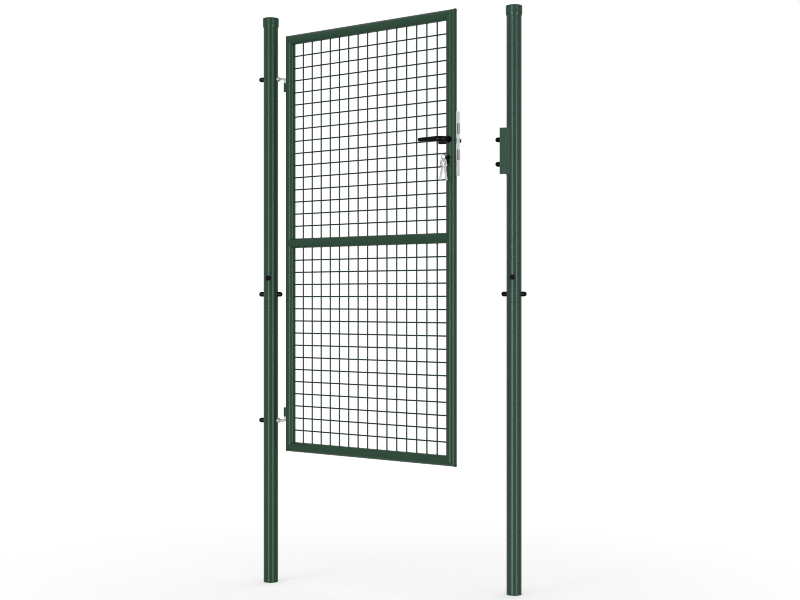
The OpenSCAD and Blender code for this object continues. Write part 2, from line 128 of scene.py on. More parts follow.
class NodeSketch:
    """A shader node tree that is laid out by short calls."""

    def __init__(self, tree: bpy.types.NodeTree) -> None:
        """Starts on a tree.

        Args:
            tree: The node tree that takes the nodes.
        """
        self.tree = tree

    def add(self, kind: str, **inputs: object) -> bpy.types.Node:
        """Adds a node and sets or links its inputs.

        Args:
            kind: The node's type, without the ShaderNode prefix.
            **inputs: Values or output sockets, by the input's name with spaces as underscores.

        Returns:
            The new node.
        """
        node = self.tree.nodes.new("ShaderNode" + kind)
        for name, value in inputs.items():
            self.put(value, node.inputs[name.replace("_", " ")])
        return node

    def put(self, value: object, target: Socket) -> None:
        """Sets a socket's value, or links an output socket to it.

        Args:
            value: A plain value or an output socket.
            target: The input socket.
        """
        if isinstance(value, Socket):
            self.tree.links.new(value, target)
        else:
            target.default_value = value

    def math(self, operation: str, *terms: object) -> Socket:
        """Adds a Math node.

        Args:
            operation: The node's operation.
            *terms: Values or output sockets, in order.

        Returns:
            The node's output socket.
        """
        node = self.add("Math")
        node.operation = operation
        for term, target in zip(terms, node.inputs):
            self.put(term, target)
        return node.outputs[0]

    def noise(self, coords: Socket, scale: float, detail: float) -> Socket:
        """Adds a Noise texture.

        Args:
            coords: The socket that gives the coordinates.
            scale: Features per metre.
            detail: Octaves.

        Returns:
            The node's value socket.
        """
        return self.add("TexNoise", Vector=coords, Scale=scale, Detail=detail).outputs["Fac"]

    def swing(self, value: Socket, amount: Socket) -> Socket:
        """Turns a noise value into a swing about zero.

        Args:
            value: A socket that gives about 0.5 in the middle.
            amount: A socket that gives how far the swing goes.

        Returns:
            The socket of (value - 0.5) * 2 * amount.
        """
        centred = self.math("SUBTRACT", value, 0.5)
        return self.math("MULTIPLY", self.math("MULTIPLY", centred, 2.0), amount)


class EffectLibrary:
    """The shader node groups that the finishes share, each built once."""

    INPUTS = (
        ("Colour", "NodeSocketColor"),
        ("Variation", "NodeSocketFloat"),
        ("Roughness", "NodeSocketFloat"),
        ("Spread", "NodeSocketFloat"),
        ("Relief", "NodeSocketFloat"),
    )
    OUTPUTS = (
        ("Colour", "NodeSocketColor"),
        ("Roughness", "NodeSocketFloat"),
        ("Normal", "NodeSocketVector"),
    )
    PEEL_SHARE = 0.8
    WAVE_SHARE = 0.2
    GRIT_SHARE = 0.5
    CRYSTAL_SHARE = 0.5
    LINE_SHARE = 0.5
    DRAWN_OUT = (1.0, 1.0, 0.06)

    def __init__(self) -> None:
        """Builds the three groups."""
        self.groups = {
            Effect.POWDER_COAT: self._build(Effect.POWDER_COAT, self._powder_coat, depth=0.25 * MM),
            Effect.MOULDED: self._build(Effect.MOULDED, self._moulded, depth=0.12 * MM),
            Effect.PLATED: self._build(Effect.PLATED, self._plated, depth=0.06 * MM),
        }

    def _build(self, effect: Effect, pattern: Callable[[NodeSketch, Socket], tuple],
               depth: float) -> bpy.types.NodeTree:
        """Makes one group.

        Args:
            effect: The kind of surface.
            pattern: The method that gives the cloud, gloss and height sockets.
            depth: Depth of the surface's relief.

        Returns:
            The node group.
        """
        tree = bpy.data.node_groups.new(effect.value, "ShaderNodeTree")
        for name, kind in self.INPUTS:
            tree.interface.new_socket(name=name, in_out="INPUT", socket_type=kind)
        for name, kind in self.OUTPUTS:
            tree.interface.new_socket(name=name, in_out="OUTPUT", socket_type=kind)
        sketch = NodeSketch(tree)
        given = tree.nodes.new("NodeGroupInput").outputs
        result = tree.nodes.new("NodeGroupOutput").inputs
        coords = sketch.add("TexCoord").outputs["Object"]
        cloud, gloss, height = pattern(sketch, coords)
        value = sketch.math("ADD", 1.0, sketch.swing(cloud, given["Variation"]))
        shade = sketch.add("HueSaturation", Value=value, Color=given["Colour"])
        rough = sketch.math("ADD", given["Roughness"], sketch.swing(gloss, given["Spread"]))
        bump = sketch.add("Bump", Strength=given["Relief"], Distance=depth, Height=height)
        sketch.put(shade.outputs["Color"], result["Colour"])
        sketch.put(rough, result["Roughness"])
        sketch.put(bump.outputs["Normal"], result["Normal"])
        return tree

    def _powder_coat(self, sketch: NodeSketch, coords: Socket) -> tuple:
        """Orange peel over a slow wave, with cloudy colour.

        Args:
            sketch: The group's tree.
            coords: The socket that gives the coordinates.

        Returns:
            The cloud, gloss and height sockets.
        """
        cloud = sketch.noise(coords, scale=9.0, detail=4.0)
        gloss = sketch.noise(coords, scale=60.0, detail=3.0)
        peel = sketch.math("MULTIPLY", sketch.noise(coords, scale=620.0, detail=2.0), self.PEEL_SHARE)
        wave = sketch.math("MULTIPLY", sketch.noise(coords, scale=130.0, detail=1.0), self.WAVE_SHARE)
        return cloud, gloss, sketch.math("ADD", peel, wave)

    def _moulded(self, sketch: NodeSketch, coords: Socket) -> tuple:
        """Fine leather-like tool texture with soft flow marks.

        Args:
            sketch: The group's tree.
            coords: The socket that gives the coordinates.

        Returns:
            The cloud, gloss and height sockets.
        """
        cloud = sketch.noise(coords, scale=45.0, detail=3.0)
        gloss = sketch.noise(coords, scale=180.0, detail=2.0)
        cells = sketch.add("TexVoronoi", Vector=coords, Scale=1500.0).outputs["Distance"]
        grit = sketch.math("MULTIPLY", sketch.noise(coords, scale=2600.0, detail=1.0), self.GRIT_SHARE)
        return cloud, gloss, sketch.math("ADD", cells, grit)

    def _plated(self, sketch: NodeSketch, coords: Socket) -> tuple:
        """Crystals of the plating over fine drawn lines.

        Args:
            sketch: The group's tree.
            coords: The socket that gives the coordinates.

        Returns:
            The cloud, gloss and height sockets.
        """
        drawn = sketch.add("Mapping", Vector=coords, Scale=self.DRAWN_OUT).outputs["Vector"]
        lines = sketch.noise(drawn, scale=1800.0, detail=2.0)
        crystals = sketch.add("TexVoronoi", Vector=coords, Scale=420.0).outputs["Color"]
        grey = sketch.add("RGBToBW", Color=crystals).outputs["Val"]
        crystal_gloss = sketch.math("MULTIPLY", grey, self.CRYSTAL_SHARE)
        line_gloss = sketch.math("MULTIPLY", lines, self.LINE_SHARE)
        return grey, sketch.math("ADD", crystal_gloss, line_gloss), lines


@dataclass(frozen=True)
class Finish:
    """One finish of the gate: what it is made of and how it takes light."""

    slot: Slot
    effect: Effect
    colour: Colour
    roughness: float
    variation: float
    spread: float
    relief: float
    metallic: float = 0.0
    specular: float = 0.5
    ior: float = 1.5
    tint: Colour = WHITE[:3]

    def material(self, effects: EffectLibrary) -> bpy.types.Material:
        """Makes the finish's material.

        Args:
            effects: The shared node groups.

        Returns:
            The new material.
        """
        made = bpy.data.materials.new(self.slot.value + "_finish")
        made.use_nodes = True
        shader = made.node_tree.nodes["Principled BSDF"]
        shader.inputs["Metallic"].default_value = self.metallic
        shader.inputs["Specular IOR Level"].default_value = self.specular
        shader.inputs["IOR"].default_value = self.ior
        shader.inputs["Specular Tint"].default_value = (*self.tint, 1.0)
        surface = made.node_tree.nodes.new("ShaderNodeGroup")
        surface.node_tree = effects.groups[self.effect]
        surface.inputs["Colour"].default_value = (*self.colour, 1.0)
        surface.inputs["Variation"].default_value = self.variation
        surface.inputs["Roughness"].default_value = self.roughness
        surface.inputs["Spread"].default_value = self.spread
        surface.inputs["Relief"].default_value = self.relief
        sketch = NodeSketch(made.node_tree)
        sketch.put(surface.outputs["Colour"], shader.inputs["Base Color"])
        sketch.put(surface.outputs["Roughness"], shader.inputs["Roughness"])
        sketch.put(surface.outputs["Normal"], shader.inputs["Normal"])
        return made


GREEN = (0.0245, 0.063, 0.0375)
GREEN_GLOSS = (0.72, 1.0, 0.82)
# Below the index of real paint, so that the white studio doesn't whiten the dark coats.
GREEN_IOR = 1.13
BLACK_IOR = 1.10

FINISHES = (
    Finish(Slot.GREEN_PAINT, Effect.POWDER_COAT, GREEN, roughness=0.30, variation=0.08, spread=0.03,
           relief=0.07, specular=0.97, ior=GREEN_IOR, tint=GREEN_GLOSS),
    Finish(Slot.GREEN_PLASTIC, Effect.MOULDED, GREEN, roughness=0.26, variation=0.08, spread=0.05,
           relief=0.15, specular=0.97, ior=GREEN_IOR, tint=GREEN_GLOSS),
    Finish(Slot.WIRE_PAINT, Effect.POWDER_COAT, (0.020, 0.048, 0.031), roughness=0.24, variation=0.10,
           spread=0.06, relief=0.08, specular=0.85, ior=GREEN_IOR),
    Finish(Slot.ZINC, Effect.PLATED, (0.57, 0.58, 0.58), roughness=0.15, variation=0.08, spread=0.04,
           relief=0.15, metallic=1.0),
    Finish(Slot.BOLT_STEEL, Effect.PLATED, (0.37, 0.37, 0.38), roughness=0.18, variation=0.08, spread=0.05,
           relief=0.20, metallic=1.0),
    Finish(Slot.BLACK_PLASTIC, Effect.MOULDED, (0.003, 0.003, 0.004), roughness=0.30, variation=0.20,
           spread=0.06, relief=0.20, specular=0.90, ior=BLACK_IOR),
    Finish(Slot.BLACK_RUBBER, Effect.MOULDED, (0.003, 0.003, 0.003), roughness=0.55, variation=0.25,
           spread=0.10, relief=0.40, specular=0.90, ior=BLACK_IOR),
    Finish(Slot.BLACK_PAINT, Effect.POWDER_COAT, (0.005, 0.005, 0.006), roughness=0.32, variation=0.15,
           spread=0.06, relief=0.08, specular=0.90, ior=BLACK_IOR),
)


class Paintbox:
    """All materials, by the record's slot, and the way pieces take them."""

    def __init__(self, finishes: Iterable[Finish]) -> None:
        """Makes a material for each finish.

        Args:
            finishes: The gate's finishes.
        """
        effects = EffectLibrary()
        self.materials = {finish.slot: finish.material(effects) for finish in finishes}

    def dress_nodes(self, gate: dict) -> None:
        """Gives every CAD node the material of its slot.

        Args:
            gate: The loaded frame.
        """
        for row in gate["record"]["subparts"]:
            node = gate["nodes"][row["node"]]
            node.material_slots[0].material = self.materials[Slot(row["material_slot"])]
            LOG.info("dressed %s as %s", row["node"], row["material_slot"])

    def add_piece(self, name: str, shape: bmesh.types.BMesh, slot: Slot, body: Body,
                  *stands_for: str) -> bpy.types.Mesh:
        """Turns a finished shape into a piece that rides on a body.

        Args:
            name: The piece's name.
            shape: Its shape in the gate's frame. It is freed here.
            slot: Its finish.
            body: The body that carries it.
            *stands_for: CAD nodes that it replaces.

        Returns:
            The piece's mesh.
        """
        bmesh.ops.remove_doubles(shape, verts=shape.verts, dist=WELD_DIST)
        bmesh.ops.recalc_face_normals(shape, faces=shape.faces)
        for face in shape.faces:
            face.smooth = True
        mesh = bpy.data.meshes.new(name)
        shape.to_mesh(mesh)
        shape.free()
        mesh.set_sharp_from_angle(angle=math.radians(SMOOTH_DEG))
        mesh.materials.append(self.materials[slot])
        piece = bpy.data.objects.new(name, mesh)
        bpy.context.scene.collection.objects.link(piece)
        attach(piece, body.value)
        if stands_for:
            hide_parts(*stands_for)
        LOG.info("made %s: %d faces on %s", name, len(mesh.polygons), body.value)
        return mesh


def middle(node: str) -> Vector:
    """Middle of a node's box."""
    low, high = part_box(node)
    return (low + high) / 2


@dataclass(frozen=True)
class LeafAxes:
    """Where the leaf stands at rest."""

    hinge: Vector
    along: Vector

    @classmethod
    def from_joints(cls, joints: list) -> "LeafAxes":
        """Reads the hinge line and the leaf's direction from the joints.

        Args:
            joints: The frame's joints.

        Returns:
            The leaf's axes.
        """
        by_name = {joint["name"]: joint for joint in joints}
        x, y, _ = by_name["leaf_swing"]["pos_m"]
        return cls(Vector((x, y, 0.0)), Vector(by_name["latch_slide"]["axis"]).normalized())

    def place(self) -> Matrix:
        """Matrix from the leaf's own frame, x along it, y to its back and z up, to the gate's frame."""
        turn = Matrix((self.along, UP.cross(self.along), UP)).transposed().to_4x4()
        return Matrix.Translation(self.hinge) @ turn

    def reach(self, node: str) -> float:
        """Distance along the leaf from the hinge line to a node's middle."""
        return (middle(node) - self.hinge).dot(self.along)


def add_bar(shape: bmesh.types.BMesh, start: Vector, end: Vector, radius: float, sides: int) -> None:
    """Adds a round bar with closed ends.

    Args:
        shape: The shape that takes the bar.
        start: Middle of one end.
        end: Middle of the other end.
        radius: The bar's radius.
        sides: Faces around it.
    """
    run = end - start
    place = Matrix.Translation((start + end) / 2) @ run.to_track_quat("Z", "Y").to_matrix().to_4x4()
    bmesh.ops.create_cone(shape, cap_ends=True, segments=sides, radius1=radius, radius2=radius,
                          depth=run.length, matrix=place)


def add_drop(shape: bmesh.types.BMesh, place: Vector, size: Vector) -> None:
    """Adds a small drop of weld metal.

    Args:
        shape: The shape that takes the drop.
        place: Its middle.
        size: Its half-lengths.
    """
    matrix = Matrix.Translation(place) @ Matrix.Diagonal((*size, 1.0))
    bmesh.ops.create_uvsphere(shape, u_segments=DROP_SIDES, v_segments=DROP_RINGS, radius=1.0,
                              matrix=matrix)


def close_ends(shape: bmesh.types.BMesh) -> None:
    """Closes the open ends of a run.

    Args:
        shape: The swept shape.
    """
    rims = [edge for edge in shape.edges if edge.is_boundary]
    bmesh.ops.holes_fill(shape, edges=rims, sides=0)


@dataclass(frozen=True)
class WeldBead:
    """A weld seam with the ripples of its puddle."""

    radius: float = 1.5 * MM
    ripple: float = 0.14
    pitch: float = 1.6 * MM
    sides: int = 8

    def arc(self, ring: float, start_deg: float, sweep_deg: float) -> bmesh.types.BMesh:
        """Makes a bead along an arc about z. Its ends stay open, to meet themselves or another arc.

        Args:
            ring: The arc's radius.
            start_deg: Angle from x where it starts.
            sweep_deg: Angle that it runs through.

        Returns:
            The bead's shape.
        """
        sweep = math.radians(sweep_deg)
        steps = 2 * round(ring * sweep / (2 * self.pitch))
        shape = bmesh.new()
        stand = Matrix.Rotation(math.radians(start_deg), 4, "Z") @ Matrix.Translation((ring, 0, 0))
        bmesh.ops.create_circle(shape, segments=self.sides, radius=self.radius,
                                matrix=stand @ Matrix.Rotation(math.pi / 2, 4, "X"))
        bmesh.ops.spin(shape, geom=shape.verts[:] + shape.edges[:], cent=(0, 0, 0), axis=UP, angle=sweep,
                       steps=steps, use_merge=sweep_deg >= 360)
        for vert in shape.verts:
            turn = math.atan2(vert.co.y, vert.co.x) - math.radians(start_deg)
            step = round((turn % math.tau) / (sweep / steps)) % 2
            centre = Vector((vert.co.x, vert.co.y, 0)).normalized() * ring
            vert.co = centre + (vert.co - centre) * (1 - step * self.ripple)
        return shape

    def line(self, start: Vector, end: Vector) -> bmesh.types.BMesh:
        """Makes a straight bead.

        Args:
            start: One end.
            end: The other end.

        Returns:
            The bead's shape.
        """
        run = end - start
        steps = 2 * round(run.length / (2 * self.pitch))
        turn = run.to_track_quat("Z", "Y").to_matrix().to_4x4()
        shape = bmesh.new()
        bmesh.ops.create_circle(shape, segments=self.sides, radius=self.radius,
                                matrix=Matrix.Translation(start) @ turn)
        bmesh.ops.spin(shape, geom=shape.verts[:] + shape.edges[:], cent=start, axis=run.normalized(),
                       angle=0, steps=steps, dvec=run / steps)
        for vert in shape.verts:
            share = (vert.co - start).dot(run) / run.length_squared
            centre = start + run * share
            vert.co = centre + (vert.co - centre) * (1 - round(share * steps) % 2 * self.ripple)
        close_ends(shape)
        return shape


def join(target: bmesh.types.BMesh, part: bmesh.types.BMesh, place: Matrix) -> None:
    """Moves a shape into another one.

    Args:
        target: The shape that grows.
        part: The shape that is added, and freed.
        place: Where it goes.
    """
    bmesh.ops.transform(part, matrix=place, verts=part.verts)
    holder = bpy.data.meshes.new("holder")
    part.to_mesh(holder)
    part.free()
    target.from_mesh(holder)
    bpy.data.meshes.remove(holder)


def lean(slope: float) -> Matrix:
    """Gives the matrix that raises z by a slope along x.

    Args:
        slope: Rise per length.

    Returns:
        The matrix.
    """
    matrix = Matrix.Identity(4)
    matrix[2][0] = slope
    return matrix


@dataclass(frozen=True)
class MeshPanel:
    """A square of welded wires, in two layers, between the leaf's rails."""

    node: str
    low_rail: str
    high_rail: str
    pitch: float = 50 * MM
    count: int = 15
    core_radius: float = 2.5 * MM
    coat: float = 0.2 * MM
    layer: float = 2 * MM
    tuck: float = 1.5 * MM
    nugget: Vector = Vector((1.3, 1.0, 1.3))
    seat_size: float = 1.45
    seat_flat: float = 0.5
    sides: int = 14

    @property
    def wire_radius(self) -> float:
        """Radius of a wire with its coat of paint."""
        return self.core_radius + self.coat

    def build(self, axes: LeafAxes, paint: Paintbox) -> None:
        """Makes the wires, the welds where they cross and the welds at their ends.

        Args:
            axes: Where the leaf stands.
            paint: The materials.
        """
        left, right = axes.reach("hinge_stile"), axes.reach("lock_stile")
        low, high = middle(self.low_rail).z, middle(self.high_rail).z
        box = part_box(self.low_rail)
        tube = (box[1].z - box[0].z) / 2
        margin = (right - left - (self.count - 1) * self.pitch) / 2
        inset = tube - self.tuck
        places = [margin + i * self.pitch for i in range(self.count)]
        shape = bmesh.new()
        for place in places:
            row = self.wire(Vector((left + inset, -self.layer, 0)), Vector((right - inset, -self.layer, 0)))
            for across in places:
                add_drop(row, Vector((left + across, 0, 0)), self.nugget * self.wire_radius)
            join(shape, row, axes.place() @ Matrix.Translation((0, 0, low + place)))
            upright = self.wire(Vector((0, self.layer, low + inset)), Vector((0, self.layer, high - inset)))
            join(shape, upright, axes.place() @ Matrix.Translation((left + place, 0, 0)))
        paint.add_piece(self.node + "_wires", shape, Slot.WIRE_PAINT, Body.LEAF, self.node)

    def wire(self, start: Vector, end: Vector) -> bmesh.types.BMesh:
        """Makes one wire with a drop of weld where each end meets its tube.

        Args:
            start: One end.
            end: The other end.

        Returns:
            The wire's shape.
        """
        shape = bmesh.new()
        add_bar(shape, start, end, self.wire_radius, self.sides)
        run = (end - start).normalized()
        flat = Vector((1.0, 1.0, 1.0)) - self.seat_flat * Vector([abs(x) for x in run])
        for seat in (start + run * self.tuck, end - run * self.tuck):
            add_drop(shape, seat, flat * self.seat_size * self.wire_radius)
        return shape


@dataclass(frozen=True)
class LeafWelds:
    """The weld seams that hold the leaf's frame and hinge sleeves together."""

    corner_bead: WeldBead = WeldBead(radius=0.7 * MM)
    bead: WeldBead = WeldBead()
    sleeve_bead: WeldBead = WeldBead(radius=1.8 * MM)
    end_gap: float = 2 * MM

    def build(self, axes: LeafAxes, paint: Paintbox) -> None:
        """Makes the seams.

        Args:
            axes: Where the leaf stands.
            paint: The materials.
        """
        shape = bmesh.new()
        stile_low, stile_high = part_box("hinge_stile")
        tube = (stile_high.x - stile_low.x) / 2
        left, right = axes.reach("hinge_stile"), axes.reach("lock_stile")
        top, mid, bottom = (middle(rail).z for rail in ("top_rail", "middle_rail", "bottom_rail"))
        for reach, z, slope in ((left, top, -1), (right, top, 1), (left, bottom, 1), (right, bottom, -1)):
            corner = axes.place() @ Matrix.Translation((reach, 0, z)) @ lean(slope)
            join(shape, self.corner_bead.arc(tube, 0, 360), corner)
        for reach, start in ((left, -90), (right, 90)):
            for slope in (-1, 1):
                seat = axes.place() @ Matrix.Translation((reach, 0, mid)) @ lean(slope)
                join(shape, self.bead.arc(tube, start, 180), seat)
        for sleeve in ("lower_hinge_sleeve", "upper_hinge_sleeve"):
            low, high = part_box(sleeve)
            round_r = (high.y - low.y) / 2
            near = (left * left + tube * tube - round_r * round_r) / (2 * left)
            side = math.sqrt(tube * tube - near * near)
            for back in (-side, side):
                start = Vector((left - near, back, low.z + self.end_gap))
                end = Vector((left - near, back, high.z - self.end_gap))
                join(shape, self.sleeve_bead.line(start, end), axes.place())
        paint.add_piece("leaf_welds", shape, Slot.GREEN_PAINT, Body.LEAF)


@dataclass(frozen=True)
class StrikeWelds:
    """The tack welds that hold the strike bracket on the lock post."""

    bead: WeldBead = WeldBead(radius=2.0 * MM)
    tack: float = 24 * MM
    root: float = 1 * MM

    def build(self, paint: Paintbox) -> None:
        """Makes three tacks on each side of the bracket's seat.

        Args:
            paint: The materials.
        """
        shape = bmesh.new()
        post_low, post_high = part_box("lock_post_upper")
        post_r = (post_high.x - post_low.x) / 2
        axis = (post_low + post_high) / 2
        low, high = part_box("strike_bracket")
        depth = post_r - self.root
        side = math.sqrt(post_r * post_r - depth * depth)
        for y in (-side, side):
            for z in (low.z + self.tack, (low.z + high.z) / 2, high.z - self.tack):
                start = Vector((axis.x - depth, axis.y + y, z - self.tack / 2))
                join(shape, self.bead.line(start, start + UP * self.tack), Matrix.Identity(4))
        paint.add_piece("strike_welds", shape, Slot.GREEN_PAINT, Body.POSTS)


@dataclass(frozen=True)
class SeamShadeLines:
    """Thin black rings in the seams where the tubes of each post meet: painted shade for the dark of the
    gap between them.
    """

    depth: float = 0.7 * MM
    sink: float = 0.175 * MM
    half: float = 0.6 * MM
    steps: int = 64

    def build(self, paint: Paintbox) -> None:
        """Lays a thin black ring of painted shade in each post's seam.

        Args:
            paint: The materials.
        """
        shape = bmesh.new()
        for upper in ("hinge_post_upper", "lock_post_upper"):
            low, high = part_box(upper)
            outer = (high.x - low.x) / 2
            ring = bmesh.new()
            rim = [ring.verts.new((outer - self.depth, 0, z)) for z in (-self.half, self.half)]
            rim.append(ring.verts.new((outer - self.sink, 0, 0)))
            edges = [ring.edges.new(pair) for pair in zip(rim, rim[1:] + rim[:1])]
            bmesh.ops.spin(ring, geom=rim + edges, cent=(0, 0, 0), axis=UP, angle=math.tau,
                           steps=self.steps, use_merge=True)
            join(shape, ring, Matrix.Translation(((low.x + high.x) / 2, (low.y + high.y) / 2, low.z)))
        # The black ring is painted shade, darker than the seam's own shade would be.
        paint.add_piece("seam_lines", shape, Slot.BLACK_PAINT, Body.POSTS)


@dataclass(frozen=True)
class GudgeonThreads:
    """The rolled threads on the gudgeons' shanks, outside their nuts."""

    shank_radius: float = 5 * MM
    pitch: float = 1.5 * MM
    height: float = 0.35 * MM
    root: float = 0.05 * MM
    half_share: float = 0.42
    length: float = 12 * MM
    steps_per_turn: int = 24

    def build(self, paint: Paintbox) -> None:
        """Winds a ridge round each shank.

        Args:
            paint: The materials.
        """
        shape = bmesh.new()
        nut_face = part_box("gudgeon_nuts")[1].x
        for node, rises in (("lower_gudgeon", True), ("upper_gudgeon", False)):
            low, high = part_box(node)
            z = low.z + self.shank_radius if rises else high.z - self.shank_radius
            self.ridge(shape, Vector((nut_face, (low.y + high.y) / 2, z)))
        paint.add_piece("gudgeon_threads", shape, Slot.ZINC, Body.POSTS)

    def ridge(self, shape: bmesh.types.BMesh, start: Vector) -> None:
        """Adds one thread along x.

        Args:
            shape: The shape that takes the thread.
            start: Where it starts on the shank's axis.
        """
        thread = bmesh.new()
        half = self.half_share * self.pitch
        flanks = ((-half, -self.root), (0.0, self.height), (half, -self.root))
        verts = [thread.verts.new((along, 0, self.shank_radius + out)) for along, out in flanks]
        edges = [thread.edges.new(pair) for pair in zip(verts, verts[1:] + verts[:1])]
        turns = self.length / self.pitch
        steps = round(turns * self.steps_per_turn)
        bmesh.ops.spin(thread, geom=verts + edges, cent=(0, 0, 0), axis=(1, 0, 0), angle=turns * math.tau,
                       steps=steps, dvec=(self.length / steps, 0, 0))
        close_ends(thread)
        join(shape, thread, Matrix.Translation(start))


@dataclass(frozen=True)
class LockScrews:
    """The two screws that hold the lock plate on its case."""

    head_radius: float = 4 * MM
    crown_radius: float = 3.2 * MM
    head_height: float = 1.1 * MM
    inset: float = 10 * MM
    socket_radius: float = 1.9 * MM
    socket_depth: float = 0.8 * MM
    socket_draft: float = 0.02 * MM
    sides: int = 24

    def build(self, axes: LeafAxes, paint: Paintbox) -> None:
        """Makes a tapered head with a round socket at each end of the plate.

        Args:
            axes: Where the leaf stands.
            paint: The materials.
        """
        shape = bmesh.new()
        low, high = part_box("lock_plate")
        plate = self.plate_face(axes)
        for z in (low.z + self.inset, high.z - self.inset):
            seat = axes.place() @ Matrix.Translation((plate, 0, z)) @ Matrix.Rotation(math.pi / 2, 4, "Y")
            join(shape, self.head(), seat)
        paint.add_piece("lock_screws", shape, Slot.ZINC, Body.LEAF)

    @staticmethod
    def plate_face(axes: LeafAxes) -> float:
        """Distance along the leaf from the hinge line to the lock plate's outer face."""
        plate = frame["nodes"]["lock_plate"].data
        return max((vert.co - axes.hinge).dot(axes.along) for vert in plate.vertices)

    def head(self) -> bmesh.types.BMesh:
        """Makes one screw head, standing on z = 0.

        Returns:
            The head's shape.
        """
        shape = bmesh.new()
        bmesh.ops.create_cone(shape, cap_ends=True, segments=self.sides, radius1=self.head_radius,
                              radius2=self.crown_radius, depth=self.head_height,
                              matrix=Matrix.Translation((0, 0, self.head_height / 2)))
        crown = max(shape.faces, key=lambda face: face.calc_center_median().z)
        bmesh.ops.inset_region(shape, faces=[crown], thickness=self.crown_radius - self.socket_radius)
        bmesh.ops.inset_region(shape, faces=[crown], thickness=self.socket_draft, depth=-self.socket_depth)
        return shape


@dataclass(frozen=True)
class EasedNode:
    """A CAD node whose sharp edges, up to a top height, are rounded as they are on the real piece."""

    node: str
    slot: Slot
    body: Body
    radius: float
    segments: int = 2
    sharp_deg: float = 35.0
    flat_deg: float = 0.5
    merge: float = 0.002 * MM
    top: float = math.inf

    def build(self, paint: Paintbox) -> None:
        """Copies the node's mesh, joins it up and rounds its edges.

        Args:
            paint: The materials.
        """
        shape = bmesh.new()
        shape.from_mesh(frame["nodes"][self.node].data)
        bmesh.ops.remove_doubles(shape, verts=shape.verts, dist=self.merge)
        bmesh.ops.dissolve_limit(shape, angle_limit=math.radians(self.flat_deg), verts=shape.verts,
                                 edges=shape.edges)
        limit = math.radians(self.sharp_deg)
        low = [edge for edge in shape.edges if max(vert.co.z for vert in edge.verts) < self.top]
        sharp = [edge for edge in low if edge.is_manifold and edge.calc_face_angle(0.0) > limit]
        bmesh.ops.bevel(shape, geom=sharp, offset=self.radius, offset_type="OFFSET", segments=self.segments,
                        profile=0.5, affect="EDGES", clamp_overlap=True, material=-1)
        mesh = paint.add_piece(self.node + "_eased", shape, self.slot, self.body, self.node)
        self.weigh_normals(mesh)

    @staticmethod
    def weigh_normals(mesh: bpy.types.Mesh) -> None:
        """Turns each vertex's normal to its largest faces, so that these stay flat beside rounded edges.

        Args:
            mesh: The piece's mesh.
        """
        sums = [Vector() for _ in mesh.vertices]
        for face in mesh.polygons:
            for index in face.vertices:
                sums[index] += face.normal * face.area
        mesh.normals_split_custom_set_from_vertices([total.normalized() for total in sums])


class Shine(Enum):
    """What a studio light adds to a surface."""

    SHADE = "shade"
    GLOSS = "gloss"


# Pieces that single lights are kept off, or kept to.
KEYS = ("key_eased", "hanging_keys_eased", "key_ring")
LOCK_SET = ("lock_plate_eased", "latch_eased", "deadbolt_eased", "lock_screws")
HINGE_SET = ("lower_gudgeon", "upper_gudgeon", "gudgeon_nuts_eased", "gudgeon_threads")
LOCK_POST = ("lock_post_lower_eased", "lock_post_upper", "lock_post_cap")
STRIKE = ("strike_bracket_eased", "strike_welds")
METAL = KEYS + LOCK_SET + HINGE_SET


@dataclass(frozen=True)
class BoxStand:
    """The size of a light's face, its height over the floor and its distance from the gate."""

    width: float
    height: float
    mid_z: float
    distance: float


HIGH_BOX = BoxStand(width=3.0, height=4.0, mid_z=3.0, distance=7.0)
LOW_BOX = BoxStand(width=3.0, height=4.0, mid_z=1.5, distance=7.0)
TALL_STRIP = BoxStand(width=2.8, height=11.0, mid_z=0.2, distance=14.0)
# A reddish cast that greys the lock post's green, as in the photograph.
DUSK = (1.0, 0.25, 0.87)


@dataclass(frozen=True)
class SoftBox:
    """A soft light that stands round the gate."""

    name: str
    shine: Shine
    stand: BoxStand
    azimuth_deg: float
    radiance: float
    kept_off: tuple[str, ...] = ()
    kept_to: tuple[str, ...] = ()
    colour: Colour = WHITE[:3]

    def area(self) -> float:
        """Area of the light's face, an ellipse for gloss and a rectangle for shade."""
        full = self.stand.width * self.stand.height
        return full * math.pi / 4 if self.shine is Shine.GLOSS else full

    def build(self, target: Vector) -> None:
        """Sets the light up, facing the gate.

        Args:
            target: The point that it faces.
        """
        turn = math.radians(self.azimuth_deg)
        away = Vector((math.sin(turn), -math.cos(turn), 0.0)) * self.stand.distance
        light = bpy.data.lights.new(self.name, "AREA")
        light.shape = "ELLIPSE" if self.shine is Shine.GLOSS else "RECTANGLE"
        light.size = self.stand.width
        light.size_y = self.stand.height
        light.color = self.colour
        light.energy = self.radiance * math.pi * self.area()
        lamp = bpy.data.objects.new(self.name, light)
        lamp.location = Vector((target.x, target.y, self.stand.mid_z)) + away
        lamp.rotation_euler = (-away).to_track_quat("-Z", "Y").to_euler()
        lamp.visible_camera = False
        lamp.visible_diffuse = self.shine is Shine.SHADE
        lamp.visible_glossy = self.shine is Shine.GLOSS
        bpy.context.scene.collection.objects.link(lamp)
        if self.kept_off or self.kept_to:
            self.flag(lamp)
        LOG.info("lit %s at %.0f degrees", self.name, self.azimuth_deg)

    def flag(self, lamp: bpy.types.Object) -> None:
        """Keeps the light off single pieces, or to single pieces, as flags do in a studio.

        Args:
            lamp: The light.
        """
        flagged = bpy.data.collections.new(self.name + "_flags")
        for name in self.kept_off + self.kept_to:
            flagged.objects.link(bpy.data.objects[name])
        for held in flagged.collection_objects:
            held.light_linking.link_state = "EXCLUDE" if self.kept_off else "INCLUDE"
        lamp.light_linking.receiver_collection = flagged


